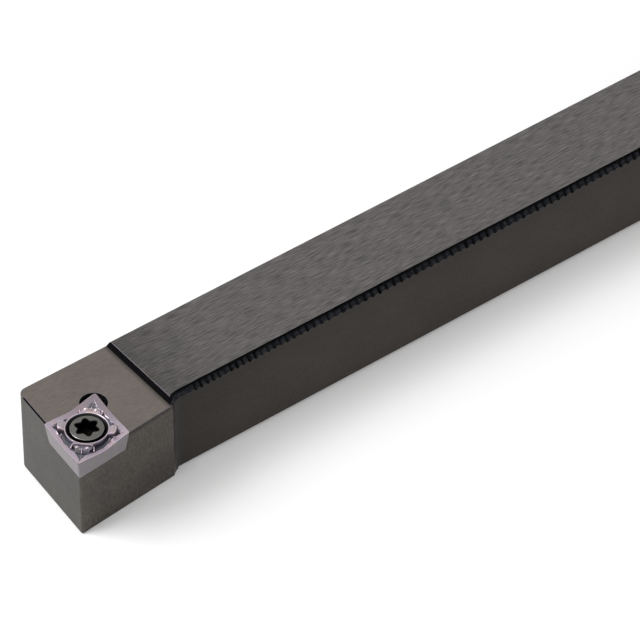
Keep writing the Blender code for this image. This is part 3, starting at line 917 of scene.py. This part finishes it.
def mounds(run, side, *forms):
    """Each mound's height, share here and tone."""
    return [(height, mound(run, side, centre, half), tone) for centre, half, height, tone in forms]


def blocks(run, side, *forms):
    """Each block's height, share here and tone."""
    return [(height, soft_box(run, side, centre, turn, half, soft), tone)
            for centre, turn, half, soft, height, tone in forms]


def sharp_corner(run, side):
    """Moulded forms behind an 80 degree corner: petals, a spine, a backbone, wings and a crease."""
    crease = hump(run, *CREASE) * fall_off(side, *CREASE_ENDS)
    return (mounds(run, side, PETAL, SPINE, BACKBONE) + blocks(run, side, SHARP_WING)
            + [(-CREASE_DEPTH, crease, GROOVE_TONE)])


def blunt_corner(run, side):
    """Moulded forms behind a 100 degree corner, beside its lobe: two blocks and a wing on each side."""
    return blocks(run, side, OUTER_BLOCK, INNER_BLOCK) + mounds(run, side, BLUNT_WING)


def valley(back, side, floor):
    """The hollow between a corner's two rims: it falls away from the corner and rises to both sides."""
    level = VALLEY_TOP + ease(back, *VALLEY_FALL) + VALLEY_SIDE_RISE * side
    return lerp(floor, min(level, VALLEY_HIGHEST), fall_off(back, *VALLEY_ENDS))


def fan_relief(x, run, side, height, tone, warm):
    """The fan behind an 80 degree corner, and the plateau that joins it to the hole's land."""
    reach = FAN_HALF - ease(run, PLATEAU_ENDS[1], FAN_ENDS[1], FAN_NARROWING)
    fan = fall_off(run, *FAN_ENDS) * fall_off(side, reach + FAN_EDGE[0], reach + FAN_EDGE[1])
    height = max(height, lerp(height, FAN_LEVEL, fan))
    top = fall_off(run, *PLATEAU_ENDS) * fall_off(side, FAN_HALF, FAN_HALF + PLATEAU_EDGE)
    height = lerp(height, LAND_LEVEL, top)
    tone = max(tone, PLATEAU_TONE * top, FAN_TONE * fan)
    # Behind the rear corner the fan is painted lighter and warmer than behind the nose, with a warm spot:
    # painted light.
    if x > 0:
        tone = max(tone, REAR_FAN_TONE * fan)
        spot = hump(run, PLATEAU_ENDS[1], WARM_SPOT_HALF[0]) * hump(side, 0, WARM_SPOT_HALF[1])
        warm = max(warm, top, fan) + spot
    return height, tone, warm


def lobe_relief(run, side, height, tone, warm):
    """The raised lobe beside the hole, toward a 100 degree corner."""
    along, across = abs((run - LOBE_CENTRE) / LOBE_HALF[0]), side / LOBE_HALF[1]
    lobe = fall_off((along ** 3 + across ** 3) ** (1 / 3), *LOBE_EDGE)
    rise = lerp(LAND_LEVEL, LOBE_HEIGHT, ease(run, SINK_RIM, LOBE_TOP_START))
    return max(height, lerp(height, rise, lobe)), max(tone, LOBE_TONE * lobe), max(warm, LOBE_WARMTH * lobe)


def corner_relief(x, y, height, tone, warm):
    """Adds the forms behind the nearest corner: fan or lobe, ball, and the small moulded ones."""
    sharp = abs(x) > abs(y) * LONG_HALF / SHORT_HALF
    run, side = (abs(x), abs(y)) if sharp else (abs(y), abs(x))
    if run < CORNER_FORMS_START:
        return height, tone, warm
    if sharp:
        height, tone, warm = fan_relief(x, run, side, height, tone, warm)
    else:
        height, tone, warm = lobe_relief(run, side, height, tone, warm)
    ball = sqrt(mound(run, side, (SHARP_BALL if sharp else BLUNT_BALL, 0), BALL_HALF))
    height += BALL_HEIGHT * ball
    tone = max(tone, BALL_TONE * ball)
    for rise, share, shade in (sharp_corner if sharp else blunt_corner)(run, side):
        height += rise * share
        tone = max(tone, shade * share)
    return height, tone, warm


def top_relief(x, y):
    """The moulded top: height over the corners, tone (1 on the rim, 0 in the groove) and warmth."""
    run, side = abs(x), abs(y)
    inset = INSCRIBED / 2 - run * sin(HALF_CORNER) - side * cos(HALF_CORNER)
    along = run * cos(HALF_CORNER) - side * sin(HALF_CORNER)
    far = LONG_HALF * cos(HALF_CORNER)
    foot = (far - SHORT_HALF * sin(HALF_CORNER)) / 2
    middle = sin((1 - min(1, abs(along - foot) / (far - foot))) * pi / 2) ** 2
    rim = rim_width(along) + ease(x, *REAR_WIDER)
    sag = EDGE_SAG[1] if x * y > 0 else EDGE_SAG[0]
    edge = -sag * middle - HONE_DROP * max(0, 1 - inset / HONE) ** 2
    sharp = run > side * LONG_HALF / SHORT_HALF
    if sharp:
        back, across = LONG_HALF - SHARP_INSET - run, side
    else:
        back, across = SHORT_HALF - BLUNT_INSET - side, run
    floor = valley(back, across, min(GROOVE_LEVEL, edge - RIM_FALL - GROOVE_STEP))
    inside = ease(inset, rim, rim + RIM_SLOPE)
    height = lerp(edge - RIM_FALL * ease(inset, 0, rim), floor, inside)
    # The rim's tone falls toward the rear corner: painted shade.
    tone = fall_off(inset, rim + RIM_SLOPE / 2, rim + RIM_SLOPE) * (1 - ease(x, *PAINTED_REAR_SHADE))
    warm = 0
    if inset > rim + RIM_SLOPE / 2:
        height, tone, warm = corner_relief(x, y, height, tone, warm)
    reach = hypot(x, y)
    land = fall_off(reach, LAND_REACH, LAND_REACH + LAND_SLOPE)
    ring = fall_off(reach, LAND_REACH + LAND_RING[0], LAND_REACH + LAND_RING[1])
    height = max(height, lerp(height, LAND_LEVEL, land))
    return height, max(tone, LAND_TONE * ring), max(warm, LAND_WARMTH * ring)


def insert_rings():
    """Rings of points with their tones, up the hole, over the top and down the flank."""
    outline = insert_outline()
    turns = [atan2(point.y, point.x) for point in outline]
    sink_depth = (SINK_RIM - HOLE_RADIUS) / tan(SINK_ANGLE / 2)

    def circle(radius, level, tone):
        return [(radius * cos(t), radius * sin(t), level, tone, 0) for t in turns]

    rings = [circle(HOLE_RADIUS + FOOT_BREAK, -THICKNESS, HOLE_TONE),
             circle(HOLE_RADIUS, FOOT_BREAK - THICKNESS, HOLE_TONE),
             circle(HOLE_RADIUS, LAND_LEVEL - sink_depth, HOLE_TONE)]
    for share in SINK_SHARES:
        radius = lerp(HOLE_RADIUS, SINK_RIM, share)
        rings.append(circle(radius, LAND_LEVEL - sink_depth * (1 - share), HOLE_TONE))
    rings.append(circle(SINK_RIM, LAND_LEVEL - 0.02, SINK_EDGE_TONE))
    for i in range(TOP_STEPS + 1):
        share = i / TOP_STEPS
        ring = []
        for point, turn in zip(outline, turns):
            place = Vector((cos(turn), sin(turn))) * (SINK_RIM + 0.03)
            place = place.lerp(point, share)
            ring.append((place.x, place.y, *top_relief(place.x, place.y)))
        rings.append(ring)
    edge = rings[-1]
    for share in FLANK_SHARES:
        ring = []
        for point, (_, _, level, *_) in zip(outline, edge):
            height = lerp(level, -THICKNESS, share)
            shrink = 1 + height * tan(RELIEF) / (INSCRIBED / 2) - (FOOT_ROUND if share == 1 else 0)
            ring.append((point.x * shrink, point.y * shrink, height, FLANK_TONE, 0))
        rings.append(ring)
    return rings


def hollows(rings):
    """For each point: 0 in a crease and on the cutting edge, 0.5 on level ground, 1 on a ridge; the coating
    turns 0 into painted shade and 1 into a painted highlight.
    """
    count = len(rings[0])
    flank_start = len(rings) - len(FLANK_SHARES)
    shares = []
    for i, ring in enumerate(rings):
        inner, outer = rings[max(0, i - HOLLOW_STEPS)], rings[min(len(rings) - 1, i + HOLLOW_STEPS)]
        for j, point in enumerate(ring):
            around = (inner[j][2] + outer[j][2] + ring[j - HOLLOW_STEPS][2]
                      + ring[(j + HOLLOW_STEPS) % count][2]) / 4
            if i in (flank_start - 1, flank_start):
                share = 0
            elif point[3] in (HOLE_TONE, FLANK_TONE):
                share = 0.5
            else:
                share = min(1, max(0, 0.5 + (point[2] - around) / HOLLOW_RANGE / 2))
            shares.append(share)
    return shares


def make_insert(material):
    rings = insert_rings()
    work = tube([[point[:3] for point in ring] for ring in rings], looped=True)
    layers = [work.verts.layers.float.new(name) for name in ("tone", "hollow", "warm")]
    points = [point for ring in rings for point in ring]
    for vertex, (_, _, _, tone, warm), hollow in zip(work.verts, points, hollows(rings)):
        for layer, value in zip(layers, (tone, hollow, warm)):
            vertex[layer] = value
    work.transform(Matrix.Translation((*INSERT_CENTRE, HEIGHT)) @ Matrix.Rotation(DIAGONAL_TURN, 4, "Z"))
    insert = add_object("insert_finish", work, [material])
    insert.data.shade_smooth()
    insert.data.set_sharp_from_angle(angle=INSERT_SMOOTH_ANGLE)
    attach(insert, "insert")
    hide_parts("cutting_insert")


# Screw
SCREW_COLUMNS = 120
THREAD_ROWS_PER_PITCH = 16
SOCKET_TURN = radians(4.5)
LOBES = 6
SOCKET_LOBE_RADIUS = 1.2
SOCKET_WAIST_RADIUS = 0.84
SOCKET_DEPTH = 1.1
SOCKET_POINT = 0.35
SOCKET_FLOOR_ROUND = 0.1
HEAD_DOME = 0.06
SOCKET_CHAMFER = 0.08
HEAD_SHARES = (0.1, 0.35, 0.6, 0.85)
HEAD_ROUND_STEPS = 6
TIP_BREAK = 0.12
THREAD_STEEPNESS = 1.25
THREAD_ROOT = 0.06
SCREW_SMOOTH_ANGLE = radians(35)


def screw_levels():
    """The screw's levels over the insert's corners, and its neck radius, as in the CAD."""
    neck = THREAD_RADIUS - THREAD_DEPTH
    seat = (SINK_RADIUS - SCREW_HEAD_RADIUS) / tan(SINK_ANGLE / 2) - LAND_LEVEL
    rim = -seat + SEAT_GAP / sin(SINK_ANGLE / 2)
    top = rim + SCREW_HEAD_RIM
    neck_top = rim - (SCREW_HEAD_RADIUS - neck) / tan(SINK_ANGLE / 2)
    return top, rim, neck_top, neck_top - NECK_LENGTH, top - SCREW_LENGTH, neck


def screw_rings():
    """Rings of points with tones, from the socket's bottom over the head to the tip."""
    top, rim, neck_top, thread_top, tip, neck = screw_levels()
    turns = [2 * pi * i / SCREW_COLUMNS for i in range(SCREW_COLUMNS)]

    swing = (SOCKET_LOBE_RADIUS - SOCKET_WAIST_RADIUS) / 2

    def star(grow, level, tone, share=1):
        ring = []
        for t in turns:
            radius = SOCKET_WAIST_RADIUS + swing * (1 + cos(LOBES * (t - SOCKET_TURN))) + grow
            ring.append((radius * share * cos(t), radius * share * sin(t), level, tone))
        return ring

    def circle(radius, level, tone):
        return [(radius * cos(t), radius * sin(t), level, tone) for t in turns]

    floor = top - SOCKET_DEPTH
    dome = top + HEAD_DOME
    socket = ((0, floor - SOCKET_POINT, 0.02), (0, floor - 0.12, 0.5), (0, floor, 0.8),
              (-0.02, floor + 0.04, 1), (0, floor + SOCKET_FLOOR_ROUND, 1), (0, top - 0.3, 1),
              (0, dome - SOCKET_CHAMFER, 1))
    rings = [star(grow, level, SOCKET_TONE, share) for grow, level, share in socket]
    rings.append(star(SOCKET_CHAMFER, dome, SOCKET_EDGE_TONE))
    flat = SCREW_HEAD_RADIUS - SCREW_HEAD_ROUND
    mouth = star(SOCKET_CHAMFER, top, HEAD_TONE)
    for share in HEAD_SHARES:
        level = top + HEAD_DOME * (1 - share ** 2)
        rings.append([(lerp(x, flat * cos(t), share), lerp(y, flat * sin(t), share), level, HEAD_TONE)
                      for (x, y, _, _), t in zip(mouth, turns)])
    for i in range(HEAD_ROUND_STEPS + 1):
        t = pi / 2 * i / HEAD_ROUND_STEPS
        level = top - SCREW_HEAD_ROUND * (1 - cos(t))
        # The rounded rim's tone climbs to a painted highlight, then to painted shade at its foot.
        rings.append(circle(flat + SCREW_HEAD_ROUND * sin(t), level, HEAD_TONE + 0.4 * sin(t) ** 2))
    for radius, level in ((SCREW_HEAD_RADIUS, rim + 0.02), (SCREW_HEAD_RADIUS - 0.015, rim - 0.03),
                          (neck + 0.03, neck_top + 0.05), (neck, neck_top - 0.03)):
        rings.append(circle(radius, level, SHANK_TONE))
    rows = round((thread_top - tip) / THREAD_PITCH * THREAD_ROWS_PER_PITCH)
    for row in range(rows + 1):
        level = thread_top + (tip - thread_top) * row / rows
        begun = ease(thread_top - level, 0, THREAD_PITCH)
        fade = begun * ease(level - tip, 0.05, THREAD_PITCH * 1.2)
        ring = []
        for t in turns:
            phase = (level / THREAD_PITCH - t / (2 * pi)) % 1
            crest = min(1, max(0, THREAD_STEEPNESS * (1 - abs(2 * phase - 1)) - THREAD_ROOT))
            radius = neck + THREAD_DEPTH * crest * fade
            ring.append((radius * cos(t), radius * sin(t), level, SHANK_TONE))
        rings.append(ring)
    rings.append(circle(neck - TIP_BREAK, tip, SHANK_TONE))
    return rings


def make_screw(material):
    rings = screw_rings()
    work = tube([[point[:3] for point in ring] for ring in rings])
    layer = work.verts.layers.float.new("tone")
    for vertex, tone in zip(work.verts, [point[3] for ring in rings for point in ring]):
        vertex[layer] = tone
    work.transform(Matrix.Translation((*INSERT_CENTRE, HEIGHT)))
    screw = add_object("screw_finish", work, [material])
    screw.data.shade_smooth()
    screw.data.set_sharp_from_angle(angle=SCREW_SMOOTH_ANGLE)
    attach(screw, "screw")
    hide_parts("clamp_screw")


# Floor, light and camera: to rays that see them, floor and world are lighter than the light they give
FLOOR_LIFT = 0.16
FLOOR_HALF = 3000
WORLD_STRENGTH = 0.45
WHITE = (1, 1, 1, 1)
PAPER = (0.93, 0.93, 0.93, 1)
LAMP_AIM = (-40, 0, 5)


def seen_ray(tree):
    """1 for rays that see the backdrop, straight or reflected, 0 for those that carry its light."""
    path = add(tree, "ShaderNodeLightPath")
    either = math(tree, "MAXIMUM", path.outputs["Is Camera Ray"], path.outputs["Is Glossy Ray"])
    return math(tree, "MAXIMUM", either, path.outputs["Is Transmission Ray"])


def add_lamp(name, place, size, power):
    """A square area lamp aimed at the front part of the tool."""
    light = bpy.data.lights.new(name, "AREA")
    light.shape = "SQUARE"
    light.size = size * MM
    light.energy = power
    lamp = link(name, light)
    lamp.location = Vector(place) * MM
    toward = (Vector(place) - Vector(LAMP_AIM)).normalized()
    lamp.rotation_euler = toward.to_track_quat("Z", "Y").to_euler()


def make_stage():
    work = bmesh.new()
    bmesh.ops.create_grid(work, x_segments=1, y_segments=1, size=FLOOR_HALF)
    paint, tree, shader = new_material("floor", Roughness=0.9, Base_Color=PAPER, Emission_Color=WHITE)
    glow = math(tree, "MULTIPLY", seen_ray(tree), FLOOR_LIFT)
    tree.links.new(glow, shader.inputs["Emission Strength"])
    add_object("floor", work, [paint])

    world = bpy.data.worlds.new("studio")
    bpy.context.scene.world = world
    world.use_nodes = True
    tree = world.node_tree
    background = tree.nodes["Background"]
    background.inputs["Color"].default_value = WHITE
    strength = math(tree, "MULTIPLY_ADD", seen_ray(tree), 1 - WORLD_STRENGTH, WORLD_STRENGTH)
    tree.links.new(strength, background.inputs["Strength"])
    add_lamp("key", (-620, 330, 620), 560, 6.5)
    add_lamp("glint", (-210, 10, 700), 80, 0.4)


# The camera that fits the photograph's edges: it looks from the head's near side, a little rolled
CAMERA_AZIMUTH = radians(-38.1916)
CAMERA_ELEVATION = radians(42.82)
CAMERA_ROLL = radians(0.4873)
CAMERA_DISTANCE = 444.8861
CAMERA_RIGHT = 27.0048
CAMERA_UP = 17.0559
CAMERA_ORIGIN = Vector((-59.70, 0.05, 0))
FOCAL_PIXELS = 4585.9415
FRAME_PIXELS = 640
SENSOR_WIDTH = 36


def make_camera():
    flat = cos(CAMERA_ELEVATION)
    back = Vector((sin(CAMERA_AZIMUTH) * flat, -cos(CAMERA_AZIMUTH) * flat, sin(CAMERA_ELEVATION)))
    level = Vector((cos(CAMERA_AZIMUTH), sin(CAMERA_AZIMUTH), 0))
    upright = back.cross(level)
    right = level * cos(CAMERA_ROLL) + upright * sin(CAMERA_ROLL)
    up = upright * cos(CAMERA_ROLL) - level * sin(CAMERA_ROLL)
    place = CAMERA_ORIGIN + right * CAMERA_RIGHT + up * CAMERA_UP + back * CAMERA_DISTANCE
    camera = bpy.data.cameras.new("camera")
    camera.sensor_width = SENSOR_WIDTH
    camera.lens = FOCAL_PIXELS * SENSOR_WIDTH / FRAME_PIXELS
    camera.clip_start = 10 * MM
    camera.clip_end = 10
    made = link("camera", camera)
    turn = Matrix((right, up, back)).transposed().to_4x4()
    made.matrix_world = Matrix.Translation(place * MM) @ turn
    bpy.context.scene.camera = made


make_stage()
make_camera()
make_holder(make_materials())
make_insert(coated())
make_screw(screw_steel())

bpy.context.scene.view_settings.view_transform = "Standard"
